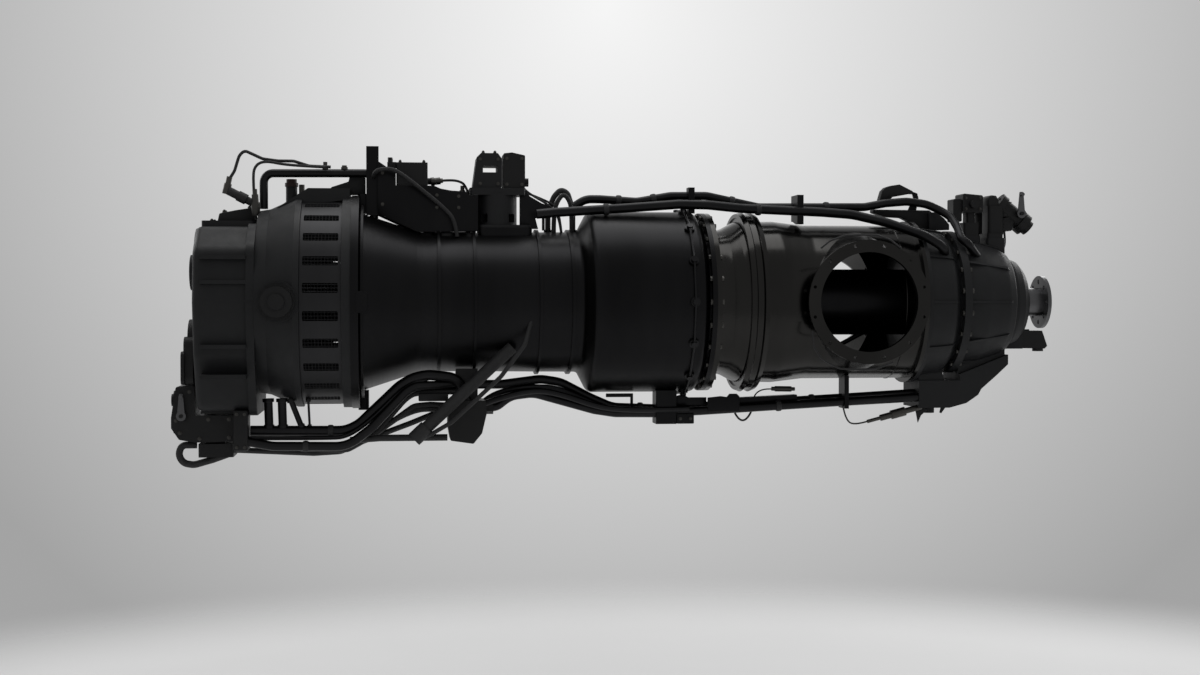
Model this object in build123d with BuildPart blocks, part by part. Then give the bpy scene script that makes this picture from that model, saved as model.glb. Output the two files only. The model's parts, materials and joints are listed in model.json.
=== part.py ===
# Turboprop engine with a free power turbine and a reverse-flow annular combustor.
#
# X runs forward along the shaft line to the propeller flange, Y to port and Z up.
# The origin is on the shaft line, in the face of the engine mount pads.
# A station is a distance along X. Angles about the shaft line start at +Y and turn to +Z.
from build123d import *
from math import atan2, cos, degrees, hypot, pi, radians, sin, tan
import os

# Stations of the main casings, from the accessory gearbox at the rear to the propeller.
GEARBOX_REAR = -331
PAD_FACE = -339
DIAPHRAGM = -214
TANK_REAR = -208
TANK_FRONT = -118
INLET_FLANGE = -16
MOUNT_FACE = 0
CONE_END = 129
BARREL_END = 463
COMBUSTOR_REAR = 486
COMBUSTOR_FRONT = 713
TURBINE_FLANGE = 738
DUCT_RING = 830
PORT_STATION = 1059
DUCT_FRONT = 1197
GEARBOX_SPLIT = 1290
NOSE_FACE = 1418
COVER_FRONT = 1468
FLANGE_FACE = 1513

# Outer radii of the casings.
INLET_RADIUS = 222
CONE_RADIUS = 190
WAIST_RADIUS = 148
BARREL_RADIUS = 151
COMBUSTOR_RADIUS = 195
NECK_RADIUS = 157
DUCT_RADIUS = 168
TURBINE_FLANGE_RADIUS = 193
HOUSING_RADIUS = 72
REDUCTION_RADIUS = 140

# Exhaust ports, one on each side of the duct.
PORT_FACE = 200
PORT_OPENING = 104.5
PORT_FLANGE = 130
PORT_BOLT_CIRCLE = 242
PORT_BOLTS = 12
PORT_BOLT_HOLE = 3.4

# Mount pads, propeller flange and starter pad.
MOUNT_CIRCLE = 428
MOUNT_HOLE = 5.25
PROP_SHAFT = 31.5
PROP_FLANGE = 58.5
PROP_CIRCLE = 90
PROP_HOLES = 8
PROP_HOLE = 5.2
STARTER_CIRCLE = 127
STARTER_HOLE = 4.8
BREATHER_BEND = 20

# Reduction gears: two planetary stages with fixed ring gears.
FIRST_MODULE = 3.0
FIRST_SUN = 21
FIRST_PLANET = 21
FIRST_RING = 63
FIRST_PLANETS = 3
SECOND_MODULE = 3.5
SECOND_SUN = 24
SECOND_PLANET = 22
SECOND_RING = 68
SECOND_PLANETS = 4
FIRST_STAGE = (1238, 1260)
SECOND_STAGE = (1302, 1332)

# Accessory gears: the rotor's pinion drives the starter gear above it and the pump gear below.
ACCESSORY_MODULE = 2.5
PINION_TEETH = 20
STARTER_TEETH = 44
PUMP_TEETH = 50
ACCESSORY_STAGE = (-302, -286)
PUMP_DIRECTION = 250

# Heights of the flat pads on the reduction gearbox.
GOVERNOR_PAD = 142
OVERSPEED_PAD = 147
TRANSMITTER_PAD = 134
SUMP_FACE = -172
HOSE_BOSS = 156
VALVE_PAD = 158
FILTER_PAD = -224
PICKUP_FACE = 1462

SHAFT_RADIUS = 20
FREE_SHAFT_RADIUS = 17
RUNNING_GAP = 0.3
CASE_WALL = 3
DUCT_WALL = 2.5


def turned(*outline):
    """A body turned about the shaft line from a closed outline of (station, radius) points."""
    with BuildPart() as body:
        with BuildSketch(Plane.XZ):
            with BuildLine():
                Polyline(*outline, close=True)
            make_face()
        revolve(axis=Axis.X)
    return body.part


def envelope(corners, rounds, wall=0):
    """The solid inside a casing's outer line of (station, radius) corners, or inside its wall."""
    with BuildPart() as body:
        with BuildSketch(Plane.XZ):
            with BuildLine() as line:
                FilletPolyline(*corners, radius=rounds)
                if wall:
                    offset(amount=wall, side=Side.RIGHT, closed=False, mode=Mode.REPLACE)
                first, last = line.wires()[0] @ 0, line.wires()[0] @ 1
                Polyline(last, (last.X, 0), (first.X, 0), first)
            make_face()
        revolve(axis=Axis.X)
    return body.part


def casing(corners, rounds, wall):
    """A thin casing with an outer line of (station, radius) corners."""
    with BuildPart() as shell:
        add(envelope(corners, rounds))
        add(envelope(corners, rounds, wall), mode=Mode.SUBTRACT)
    return shell.part


def ring(start, end, inner, outer):
    """A plain ring on the shaft line between two stations."""
    return turned((start, inner), (start, outer), (end, outer), (end, inner))


def slab(corners, start, end, rounding=0):
    """A block between two stations, from a closed outline of (y, z) corners."""
    with BuildPart() as block:
        with BuildSketch(Plane.YZ.offset(start)):
            with BuildLine():
                Polyline(*corners, close=True)
            make_face()
            if rounding:
                fillet(vertices(), rounding)
        extrude(amount=end - start)
    return block.part


def side_slab(corners, port, starboard, rounding=0):
    """A block from y = starboard to y = port, from a closed outline of (x, z) corners."""
    with BuildPart() as block:
        with BuildSketch(Plane.XZ.offset(-port)):
            with BuildLine():
                Polyline(*corners, close=True)
            make_face()
            if rounding:
                fillet(vertices(), rounding)
        extrude(amount=port - starboard)
    return block.part


def block(low, high, rounding=0):
    """A box between two corners, with its upright edges rounded."""
    x0, y0, z0 = low
    x1, y1, z1 = high
    with BuildPart() as box:
        with BuildSketch(Plane.XY.offset(z0)):
            with Locations(((x0 + x1) / 2, (y0 + y1) / 2)):
                Rectangle(x1 - x0, y1 - y0)
            if rounding:
                fillet(vertices(), rounding)
        extrude(amount=z1 - z0)
    return box.part


def rod(start, end, radius, bore=0):
    """A round bar, or a tube if it has a bore, straight from one point to another."""
    line = Vector(end) - Vector(start)
    with BuildPart() as bar:
        with BuildSketch(Plane(origin=start, z_dir=line)):
            Circle(radius)
            if bore:
                Circle(bore, mode=Mode.SUBTRACT)
        extrude(amount=line.length)
    return bar.part


def hexagon(start, end, across_corners):
    """A hexagonal bar from one point to another, as on a nut or a fitting."""
    line = Vector(end) - Vector(start)
    with BuildPart() as bar:
        with BuildSketch(Plane(origin=start, z_dir=line)):
            RegularPolygon(across_corners / 2, 6)
        extrude(amount=line.length)
    return bar.part


def stepped(start, end, *steps):
    """Round steps along a line. Each step is (share of the way from, share of the way to, radius)."""
    line = Vector(end) - Vector(start)
    with BuildPart() as turning:
        for begin, finish, radius in steps:
            with BuildSketch(Plane(origin=Vector(start) + line * begin, z_dir=line)):
                Circle(radius)
            extrude(amount=line.length * (finish - begin))
    return turning.part


def bend_radii(points, largest):
    """The radius of each bend: as large as the two runs beside it allow, up to the largest."""
    radii = []
    for before, corner, after in zip(points, points[1:], points[2:]):
        arriving = Vector(corner) - Vector(before)
        leaving = Vector(after) - Vector(corner)
        half_turn = radians(arriving.get_angle(leaving)) / 2
        room = 0.45 * min(arriving.length, leaving.length) / tan(half_turn)
        radii.append(min(room, largest))
    return radii


def tube(points, diameter, largest_bend=None):
    """A bent tube or lead: straight runs through the points, joined by arcs."""
    largest = largest_bend or 4 * diameter
    with BuildPart() as bent:
        with BuildLine() as route:
            FilletPolyline(*points, radius=bend_radii(points, largest))
        with BuildSketch(Plane(origin=route.wires()[0] @ 0, z_dir=route.wires()[0] % 0)):
            Circle(diameter / 2)
        sweep()
    return bent.part


def around(piece, count, first=0):
    """Copies of a piece, evenly spaced about the shaft line."""
    return [piece.rotate(Axis.X, first + 360 * n / count) for n in range(count)]


def polar(radius, direction):
    """The (y, z) place at a radius and a direction in degrees."""
    return radius * cos(radians(direction)), radius * sin(radians(direction))


def flange_bolt(start, end, radius, shank):
    """A hexagon bolt with its nut through two flanges, at twelve o'clock."""
    head = 1.4 * shank
    with BuildPart() as bolt:
        add(rod((start, 0, radius), (end, 0, radius), shank))
        add(hexagon((start - head, 0, radius), (start, 0, radius), 4 * shank))
        add(hexagon((end, 0, radius), (end + head, 0, radius), 4 * shank))
    return bolt.part


def blade(station, root, tip, chord, root_turn, tip_turn, camber, thickness):
    """A twisted blade at twelve o'clock, thickest a third of the way along its chord.

    Its turns are the chord's angles from the shaft line at the root and at the tip.
    """
    with BuildPart() as airfoil:
        for radius, turn, length in ((root, root_turn, chord), (tip, tip_turn, 0.85 * chord)):
            along = (cos(radians(turn)), sin(radians(turn)), 0)
            with BuildSketch(Plane(origin=(station, 0, radius), x_dir=along, z_dir=(0, 0, 1))):
                with BuildLine():
                    half = length / 2
                    upper, lower = camber + thickness / 2, camber - thickness / 2
                    Polyline((-half, 0), (-half / 3, upper), (half, 0), (-half / 3, lower), close=True)
                make_face()
        loft()
    return airfoil.part


def gear_outline(teeth, module, turned_by, internal=False):
    """Corners of a straight-flanked gear with some backlash. One tooth points along turned_by."""
    side = -1 if internal else 1
    pitch_radius = module * teeth / 2
    tip = pitch_radius + side * 0.9 * module
    root = pitch_radius - side * 1.15 * module
    half_tooth = 0.66 * module
    at_tip = half_tooth - 0.9 * module * tan(radians(20))
    at_root = half_tooth + 1.15 * module * tan(radians(20))
    corners = []
    for n in range(teeth):
        centre = radians(turned_by) + 2 * pi * n / teeth
        for radius, half in ((root, -at_root), (tip, -at_tip), (tip, at_tip), (root, at_root)):
            angle = centre + half / radius
            corners.append((radius * cos(angle), radius * sin(angle)))
    return corners


def gear(teeth, module, turned_by, stage, centre=(0, 0)):
    """An external spur gear between two stations, centred on a (y, z) place."""
    y, z = centre
    corners = [(y + a, z + b) for a, b in gear_outline(teeth, module, turned_by)]
    return slab(corners, *stage)


def ring_gear(teeth, module, turned_by, stage, outer):
    """An internal gear with a round rim."""
    with BuildPart() as toothed:
        add(ring(*stage, module * teeth / 2 - 2 * module, outer))
        corners = gear_outline(teeth, module, turned_by, internal=True)
        add(slab(corners, stage[0] - 1, stage[1] + 1), mode=Mode.SUBTRACT)
    return toothed.part


def meshed_turn(teeth, other_teeth, direction):
    """How far a gear is turned to mesh with one whose tooth points along +Y, seen from that one."""
    pitch, other_pitch = 360 / teeth, 360 / other_teeth
    return direction + 180 - pitch * (0.5 - direction / other_pitch)


# The casings' outer lines, which the parts that sit on them follow.
generator_line = (
    (MOUNT_FACE, CONE_RADIUS),
    (CONE_END, WAIST_RADIUS),
    (BARREL_END, BARREL_RADIUS),
    (COMBUSTOR_REAR, COMBUSTOR_RADIUS),
    (COMBUSTOR_FRONT, COMBUSTOR_RADIUS),
    (TURBINE_FLANGE - 15, 176),
    (TURBINE_FLANGE, 176),
)
generator_rounds = (60, 12, 16, 14, 4)
duct_line = (
    (TURBINE_FLANGE, NECK_RADIUS),
    (775, NECK_RADIUS),
    (809, 175),
    (891, 176),
    (959, DUCT_RADIUS),
    (DUCT_FRONT, DUCT_RADIUS),
)
duct_rounds = (30, 30, 60, 60)
rear_case_line = ((DUCT_FRONT, 168), (1262, 159), (1278, 141.5), (GEARBOX_SPLIT, 141.5))
rear_case_rounds = (20, 8)
front_case_line = (
    (GEARBOX_SPLIT, REDUCTION_RADIUS),
    (1345, 137),
    (1396, 122),
    (1414, 112),
    (NOSE_FACE, 98),
)
front_case_rounds = (30, 30, 9)
front_case_interior = ((GEARBOX_SPLIT - 1, 133), (1345, 131), (1396, 115), (1410, 100))
generator_envelope = envelope(generator_line, generator_rounds)
duct_envelope = envelope(duct_line, duct_rounds)
rear_case_envelope = envelope(rear_case_line, rear_case_rounds)
front_case_envelope = envelope(front_case_line, front_case_rounds)


# Accessory gearbox: a ribbed casting that is open to the front, with pads on its rear wall.
gearbox_corners = (
    (105, 155), (-105, 155), (-170, 105), (-185, 0), (-165, -110), (-110, -225),
    (110, -225), (165, -110), (185, 0), (170, 105),
)
inner_corners = [(y * 0.955, z * 0.955) for y, z in gearbox_corners]
lip_corners = [(y * 1.04, z * 1.04) for y, z in gearbox_corners]
starter_height = ACCESSORY_MODULE * (PINION_TEETH + STARTER_TEETH) / 2
pump_radius = ACCESSORY_MODULE * (PINION_TEETH + PUMP_TEETH) / 2
pump_y, pump_z = polar(pump_radius, PUMP_DIRECTION)
accessory_pads = ((-112, 60, 36), (112, 60, 36), (120, -60, 40), (70, -165, 36))

with BuildPart() as accessory_gearbox_housing:
    add(slab(gearbox_corners, GEARBOX_REAR, DIAPHRAGM, 34))
    fillet(accessory_gearbox_housing.faces().sort_by(Axis.X)[0].edges(), 14)
    add(slab(lip_corners, DIAPHRAGM - 10, DIAPHRAGM, 36))
    add(block((-322, -80, 120), (DIAPHRAGM, 80, 168), 8))
    for y, z, radius in accessory_pads:
        add(rod((GEARBOX_REAR + 10, y, z), (PAD_FACE, y, z), radius))
    add(rod((GEARBOX_REAR + 10, 0, starter_height), (PAD_FACE, 0, starter_height), 75))
    add(rod((GEARBOX_REAR + 10, pump_y, pump_z), (PAD_FACE, pump_y, pump_z), 52))
    for y in (-60, 0, 60):
        add(block((GEARBOX_REAR + 4, y - 4, -232), (DIAPHRAGM - 10, y + 4, -210)))
    for z in (-150, -90, 40, 90):
        add(block((GEARBOX_REAR + 16, -186, z - 4), (DIAPHRAGM - 10, 186, z + 4)))
    add(slab(inner_corners, GEARBOX_REAR + 8, DIAPHRAGM, 28), mode=Mode.SUBTRACT)
    with BuildSketch(Plane.YZ.offset(PAD_FACE)):
        with Locations((0, starter_height)):
            Circle(28)
        with Locations((pump_y, pump_z)):
            Circle(16)
    extrude(amount=30, mode=Mode.SUBTRACT)
    with BuildSketch(Plane.YZ.offset(PAD_FACE)):
        with Locations((0, starter_height)):
            with PolarLocations(STARTER_CIRCLE / 2, 4, start_angle=45):
                Circle(STARTER_HOLE)
    extrude(amount=14, mode=Mode.SUBTRACT)

with BuildPart() as gearbox_diaphragm:
    add(slab(lip_corners, DIAPHRAGM, TANK_REAR, 36))
    add(ring(DIAPHRAGM - 26, DIAPHRAGM, 19, 34))
    add(rod((DIAPHRAGM - 12, 0, starter_height), (DIAPHRAGM, 0, starter_height), 24))
    add(rod((DIAPHRAGM - 12, pump_y, pump_z), (DIAPHRAGM, pump_y, pump_z), 24))
    add(ring(DIAPHRAGM - 30, TANK_REAR, 0, 19), mode=Mode.SUBTRACT)
    for y, z in ((0, starter_height), (pump_y, pump_z)):
        add(rod((DIAPHRAGM - 12, y, z), (DIAPHRAGM - 2, y, z), 12.1), mode=Mode.SUBTRACT)


# Compressor inlet case with the oil tank in its rear, six struts and the front flange.
filler = (-145, 30)
strut = side_slab(((TANK_FRONT - 2, 100), (TANK_FRONT - 2, 212), (-34, 212), (-34, 186), (-60, 96)), 4, -4)

with BuildPart() as inlet_case:
    add(turned((TANK_REAR, 40), (TANK_REAR, 192), (-185, 196), (-150, 212), (-130, INLET_RADIUS),
               (TANK_FRONT, INLET_RADIUS), (TANK_FRONT, 150), (-60, 86), (60, 62), (60, 24),
               (40, 24), (40, 40)))
    add(ring(-34, INLET_FLANGE, 184, 224))
    add(around(strut, 6, 30))
    add(side_slab(((-170, 196), (-131, 222), (-106, 238), (-20, 238), (-20, 215), (-125, 200)), 58, -58))
    add(rod((*filler, 210), (*filler, 246), 12))
    add(rod((-160, -180, 0), (-160, FILTER_PAD, 0), 42))
    add(turned((TANK_REAR + 6, 46), (TANK_REAR + 6, 186), (-150, 202), (-126, 208),
               (-126, 140), (-70, 78), (-70, 46)), mode=Mode.SUBTRACT)
    add(rod((*filler, 190), (*filler, 250), 7), mode=Mode.SUBTRACT)
    with BuildSketch(Plane.YZ.offset(-34)):
        with PolarLocations(MOUNT_CIRCLE / 2, 4):
            Circle(MOUNT_HOLE)
    extrude(amount=18, mode=Mode.SUBTRACT)

# The inlet screen: two rims, a drum of long windows and a seam band.
with BuildPart() as inlet_screen:
    add(ring(TANK_FRONT + 0.5, -34.5, 213.5, 216.5))
    window = block((TANK_FRONT + 7, -10, 205), (-40, 10, 225), 3)
    add(around(window, 24, 7.5), mode=Mode.SUBTRACT)
    add(inlet_case.part, mode=Mode.SUBTRACT)


turbine_flange_holes = around(rod((726, 0, 185.5), (750, 0, 185.5), 3.2), 24)

# Gas generator case: the long thin casing from the mount flange to the turbine flange.
with BuildPart() as gas_generator_case:
    add(generator_envelope)
    add(ring(INLET_FLANGE, MOUNT_FACE, 187, 226))
    add(ring(4, 9, 180, 208))
    add(around(block((MOUNT_FACE - 4, -22, 188), (18, 22, 229), 6), 4))
    add(ring(TURBINE_FLANGE - 10, TURBINE_FLANGE, 174, TURBINE_FLANGE_RADIUS))
    for station in (162, 236, 372, 440):
        add(ring(station, station + 6, WAIST_RADIUS - 1, BARREL_RADIUS + 5))
    add(around(rod((690, 0, 190), (690, 0, 198), 11), 14, 360 / 28))
    for station in (402, 456):
        add(rod((station, 6, 146), (station, 6, HOSE_BOSS), 9))
    add(block((250, -50, 130), (364, 50, VALVE_PAD), 12))
    add(envelope(generator_line, generator_rounds, CASE_WALL), mode=Mode.SUBTRACT)
    with BuildSketch(Plane.YZ.offset(INLET_FLANGE)):
        with PolarLocations(MOUNT_CIRCLE / 2, 4):
            Circle(MOUNT_HOLE)
    extrude(amount=40, mode=Mode.SUBTRACT)
    add(around(rod((690, 0, 180), (690, 0, 210), 6), 14, 360 / 28), mode=Mode.SUBTRACT)
    add(turbine_flange_holes, mode=Mode.SUBTRACT)


# Compressor: a shroud with three rows of vanes round three bladed discs and an impeller.
vane_rows = ((198, 74, 24), (253, 76, 26), (308, 78, 28))
rotor_rows = ((170, 60, 16), (226, 64, 20), (281, 68, 22))

with BuildPart() as compressor_stator:
    add(turned((-10, 182), (-10, 186), (2, 186), (62, 148), (140, 120), (330, 118), (380, 113),
               (424, 124), (437, 136), (441, 136), (441, 131), (437, 131), (424, 119.5),
               (380, 108.6), (300, 113), (140, 113), (62, 140)))
    for station, inner, count in vane_rows:
        add(around(blade(station, 114, inner, 20, -30, -24, -2, 2.2), count))
        add(ring(station - 9, station + 9, inner - 1.5, inner + 0.5))

impeller_blade = side_slab(((336, 54), (336, 107.4), (380, 107.8), (422, 117.4), (437, 128.5),
                            (437, 122), (420, 86), (392, 62)), 1.2, -1.2)
with BuildPart() as compressor_rotor:
    add(turned((150, SHAFT_RADIUS + 0.1), (150, 54), (180, 61), (300, 70), (330, 54), (380, 58),
               (416, 82), (436, 122), (437, 128.5), (441, 128.5), (441, 60), (446, 34),
               (446, SHAFT_RADIUS + 0.1)))
    for station, root, count in rotor_rows:
        add(around(blade(station, root - 4, 112.2, 30, 38, 56, 2.4, 3), count))
    add(around(impeller_blade, 18))

with BuildPart() as gas_generator_shaft:
    add(ring(-310, -180, 0, 14))
    add(ring(-180, 150, 0, 23))
    add(ring(150, 640, 0, SHAFT_RADIUS))
    add(gear(PINION_TEETH, ACCESSORY_MODULE, 0, ACCESSORY_STAGE))

with BuildPart() as diffuser:
    add(ring(444, 450, 60, 146))
    add(ring(452 + 16, 452 + 19, 132, 146))
    wedge = side_slab(((450, 131), (450, 146), (468, 146), (468, 131)), 1.5, -1.5)
    add(around(wedge, 20))


# Combustor and turbines.
with BuildPart() as combustion_liner:
    add(casing(((512, 178), (704, 178), (704, 136), (536, 136)), (18, 18), 1.5))
    add(around(rod((560, 0, 120), (560, 0, 190), 7), 9), mode=Mode.SUBTRACT)
    add(around(rod((690, 0, 160), (690, 0, 190), 8), 14, 360 / 28), mode=Mode.SUBTRACT)

with BuildPart() as turbine_vane_ring:
    add(ring(544, 612, 118.5, 122))
    add(ring(546, 570, 76, 80))
    add(around(blade(557, 79, 119.5, 22, -35, -40, -3, 4), 22))
    add(turned((480, 60), (480, 63), (546, 80), (546, 76)))

with BuildPart() as compressor_turbine:
    add(turned((566, SHAFT_RADIUS + 0.1), (566, 46), (578, 54), (580, 80), (576, 86), (602, 86),
               (598, 80), (600, 54), (612, 46), (612, SHAFT_RADIUS + 0.1)))
    add(around(blade(589, 84, 117.6, 24, 48, 62, 4, 4), 38))

with BuildPart() as power_turbine_stator:
    add(turned((616, 126), (616, 130), (720, 134), (730, 170), (736, 170), (736, 160),
               (724, 131), (700, 130.4)))
    add(ring(640, 672, 80, 84))
    add(around(blade(656, 83, 131, 26, -32, -38, -4, 5), 19))

with BuildPart() as power_turbine:
    add(turned((684, FREE_SHAFT_RADIUS + 0.1), (684, 46), (694, 54), (696, 80), (692, 86),
               (716, 86), (712, 80), (714, 54), (724, 46), (724, FREE_SHAFT_RADIUS + 0.1)))
    add(around(blade(704, 84, 129.6, 24, 44, 60, 4, 4), 34))


# Fuel nozzles: fourteen adapters joined by a thin ring of transfer tube.
with BuildPart() as fuel_manifold:
    for n in range(14):
        direction = 90 + 360 * (n + 0.5) / 14
        here, there = polar(204, direction), polar(204, direction + 360 / 14)
        add(stepped((690, *polar(172, direction)), (690, *polar(207, direction)),
                    (0, 0.75, 5.6), (0.75, 0.83, 10), (0.83, 1, 6.5)))
        add(rod((690, *here), (690, *there), 2.4))


# Exhaust duct with a flared port on each side, its flanges and the clamp lands.
def port_flare(inset):
    """Both flares of the duct's ports, each a cone from inside the duct with a neck at the flange."""
    with BuildPart() as flares:
        for side in (1, -1):
            with BuildSketch(Plane(origin=(PORT_STATION, side * 60, 0), z_dir=(0, side, 0))):
                Circle(156 - inset)
            with BuildSketch(Plane(origin=(PORT_STATION, side * 188, 0), z_dir=(0, side, 0))) as neck:
                Circle(PORT_OPENING + DUCT_WALL - inset)
            loft()
            extrude(neck.sketch, amount=PORT_FACE - 188)
        limit = DUCT_FRONT - 8 - inset
        add(block((limit, -PORT_FACE, -160), (limit + 60, PORT_FACE, 160)), mode=Mode.SUBTRACT)
    return flares.part


with BuildPart() as exhaust_duct:
    add(duct_envelope)
    add(port_flare(0))
    add(envelope(duct_line, duct_rounds, DUCT_WALL), mode=Mode.SUBTRACT)
    add(port_flare(DUCT_WALL), mode=Mode.SUBTRACT)
    add(ring(TURBINE_FLANGE, TURBINE_FLANGE + 10, NECK_RADIUS - 2, TURBINE_FLANGE_RADIUS))
    add(ring(DUCT_FRONT - 8, DUCT_FRONT, 160, 178))
    add(ring(DUCT_RING - 16, DUCT_RING - 12, 173, 188))
    add(ring(DUCT_RING + 12, DUCT_RING + 16, 173, 188))
    for side in (1, -1):
        add(rod((PORT_STATION, side * (PORT_FACE - 6), 0), (PORT_STATION, side * PORT_FACE, 0),
                PORT_FLANGE, PORT_OPENING))
    with BuildSketch(Plane.XZ.offset(-PORT_FACE)):
        with Locations((PORT_STATION, 0)):
            with PolarLocations(PORT_BOLT_CIRCLE / 2, PORT_BOLTS, start_angle=15):
                Circle(PORT_BOLT_HOLE)
    extrude(amount=8, mode=Mode.SUBTRACT)
    with BuildSketch(Plane.XZ.offset(PORT_FACE)):
        with Locations((PORT_STATION, 0)):
            with PolarLocations(PORT_BOLT_CIRCLE / 2, PORT_BOLTS, start_angle=15):
                Circle(PORT_BOLT_HOLE)
    extrude(amount=-8, mode=Mode.SUBTRACT)
    add(turbine_flange_holes, mode=Mode.SUBTRACT)

with BuildPart() as duct_clamp_ring:
    add(turned((DUCT_RING - 19, 184), (DUCT_RING - 19, 192), (DUCT_RING - 9, 196),
               (DUCT_RING - 6, 192), (DUCT_RING + 6, 192), (DUCT_RING + 9, 196),
               (DUCT_RING + 19, 192), (DUCT_RING + 19, 184), (DUCT_RING + 16.3, 184),
               (DUCT_RING + 16.3, 188.4), (DUCT_RING - 16.3, 188.4), (DUCT_RING - 16.3, 184)))

strut_blade = slab(((6, 70), (6, 153), (-6, 153), (-6, 70)), 790, 830, 4)
with BuildPart() as shaft_housing:
    add(casing(((728, 84), (800, 84), (862, HOUSING_RADIUS), (DUCT_FRONT, HOUSING_RADIUS)), (60, 60), 3))
    add(around(strut_blade, 3, 30))
    add(rod((1100, 0, -68), (912, 0, -164), 5))
    add(ring(DUCT_FRONT - 8, DUCT_FRONT, 66, 96))
    add(ring(728, 742, 66, 84))
    add(ring(720, DUCT_FRONT, 0, 66), mode=Mode.SUBTRACT)
    add(ring(728, 740, 30, 66.1))
    add(ring(1160, 1172, 30, 69))
    add(exhaust_duct.part, mode=Mode.SUBTRACT)


# Reduction gearbox: rear and front cases, two ring gears, two carriers and the propeller shaft.
rear_rib = side_slab(((DUCT_FRONT + 4, 165), (DUCT_FRONT + 4, 171), (1262, 162), (1274, 147), (1262, 156)), 2.5, -2.5)
front_rib = side_slab(((GEARBOX_SPLIT + 4, 130), (GEARBOX_SPLIT + 4, 150), (1396, 126), (1411, 108)), 2.5, -2.5)
split_holes = around(rod((GEARBOX_SPLIT - 9, 0, 150), (GEARBOX_SPLIT + 9, 0, 150), 3.4), 20, 9)

with BuildPart() as gearbox_rear_case:
    add(casing(rear_case_line, rear_case_rounds, 6))
    add(around(rear_rib, 10, 18))
    add(ring(DUCT_FRONT, DUCT_FRONT + 8, 40, 178))
    add(ring(GEARBOX_SPLIT - 8, GEARBOX_SPLIT, 136, 157))
    add(side_slab(((1212, SUMP_FACE), (1212, -158), (1266, -154), (1270, SUMP_FACE)), 52, -52))
    add(ring(DUCT_FRONT - 2, DUCT_FRONT, 150, 170), mode=Mode.SUBTRACT)
    add(split_holes, mode=Mode.SUBTRACT)

# The front case has flat pads for the governors and the torque transmitter, and one for the sump.
with BuildPart() as gearbox_front_case:
    add(front_case_envelope)
    add(around(front_rib, 10, 18))
    add(ring(GEARBOX_SPLIT, GEARBOX_SPLIT + 8, 130, 157))
    add(block((1374, -32, 80), (1416, 32, GOVERNOR_PAD), 6))
    add(block((1322, -24, 80), (1362, 24, OVERSPEED_PAD), 6))
    add(block((1374, 48, 80), (1412, 86, TRANSMITTER_PAD), 6))
    add(side_slab(((1304, -120), (1304, -158), (1410, -117), (1410, -100)), 46, -46))
    add(envelope(front_case_interior, (30, 20)), mode=Mode.SUBTRACT)
    add(ring(NOSE_FACE - 26, NOSE_FACE - 8, 62, 70))
    add(ring(NOSE_FACE - 10, NOSE_FACE + 1, 0, 62), mode=Mode.SUBTRACT)
    add(split_holes, mode=Mode.SUBTRACT)

first_orbit = FIRST_MODULE * (FIRST_SUN + FIRST_PLANET) / 2
second_orbit = SECOND_MODULE * (SECOND_SUN + SECOND_PLANET) / 2

with BuildPart() as first_stage_ring_gear:
    add(ring_gear(FIRST_RING, FIRST_MODULE, 180 / FIRST_RING, (1232, 1266), 106))
    add(ring(1226, 1232, 100, 156))

with BuildPart() as second_stage_ring_gear:
    add(ring_gear(SECOND_RING, SECOND_MODULE, 180 / SECOND_RING if SECOND_PLANET % 2 else 0,
                  (1299, 1336), 129))

with BuildPart() as power_turbine_shaft:
    add(ring(660, 1236, 0, FREE_SHAFT_RADIUS))
    add(gear(FIRST_SUN, FIRST_MODULE, 0, (1236, 1262)))

with BuildPart() as first_stage_carrier:
    add(ring(1268, 1276, 0, 82))
    add(ring(1276, 1300, 0, 30))
    add(gear(SECOND_SUN, SECOND_MODULE, 0, (1300, 1336)))
    for n in range(FIRST_PLANETS):
        y, z = polar(first_orbit, 360 * n / FIRST_PLANETS)
        add(rod((1236, y, z), (1270, y, z), 9))

first_planets = []
for n in range(FIRST_PLANETS):
    direction = 360 * n / FIRST_PLANETS
    centre = polar(first_orbit, direction)
    turn = meshed_turn(FIRST_PLANET, FIRST_SUN, direction)
    with BuildPart() as planet:
        add(gear(FIRST_PLANET, FIRST_MODULE, turn, FIRST_STAGE, centre))
        add(rod((1230, *centre), (1270, *centre), 9.08), mode=Mode.SUBTRACT)
    first_planets.append(planet)

second_planets = []
for n in range(SECOND_PLANETS):
    direction = 360 * n / SECOND_PLANETS
    centre = polar(second_orbit, direction)
    turn = meshed_turn(SECOND_PLANET, SECOND_SUN, direction)
    with BuildPart() as planet:
        add(gear(SECOND_PLANET, SECOND_MODULE, turn, SECOND_STAGE, centre))
        add(rod((1290, *centre), (1340, *centre), 12.08), mode=Mode.SUBTRACT)
    second_planets.append(planet)

with BuildPart() as propeller_shaft:
    add(ring(1341, 1351, 0, 108))
    add(turned((1350, 0), (1350, 52), (1362, 40), (1372, PROP_SHAFT), (1505, PROP_SHAFT),
               (1505, PROP_FLANGE), (FLANGE_FACE, PROP_FLANGE), (FLANGE_FACE, 20), (1519, 20),
               (1519, 13), (1526, 13), (1532, 7), (1532, 0)))
    for n in range(SECOND_PLANETS):
        y, z = polar(second_orbit, 360 * n / SECOND_PLANETS)
        add(rod((1300, y, z), (1342, y, z), 12))
    with BuildSketch(Plane.YZ.offset(1500)):
        with PolarLocations(PROP_CIRCLE / 2, PROP_HOLES):
            Circle(PROP_HOLE)
    extrude(amount=20, mode=Mode.SUBTRACT)

with BuildPart() as thrust_bearing_cover:
    add(turned((NOSE_FACE, PROP_SHAFT + 1), (NOSE_FACE, 97), (1426, 97), (1441, 92), (1454, 78),
               (1461, 62), (COVER_FRONT, 46), (COVER_FRONT, PROP_SHAFT + 1)))
    for n in range(8):
        add(rod((1421, *polar(88, 22.5 + 45 * n)), (1431, *polar(88, 22.5 + 45 * n)), 7))
    add(block((1424, -18, -104), (PICKUP_FACE, 18, -62)))

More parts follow.
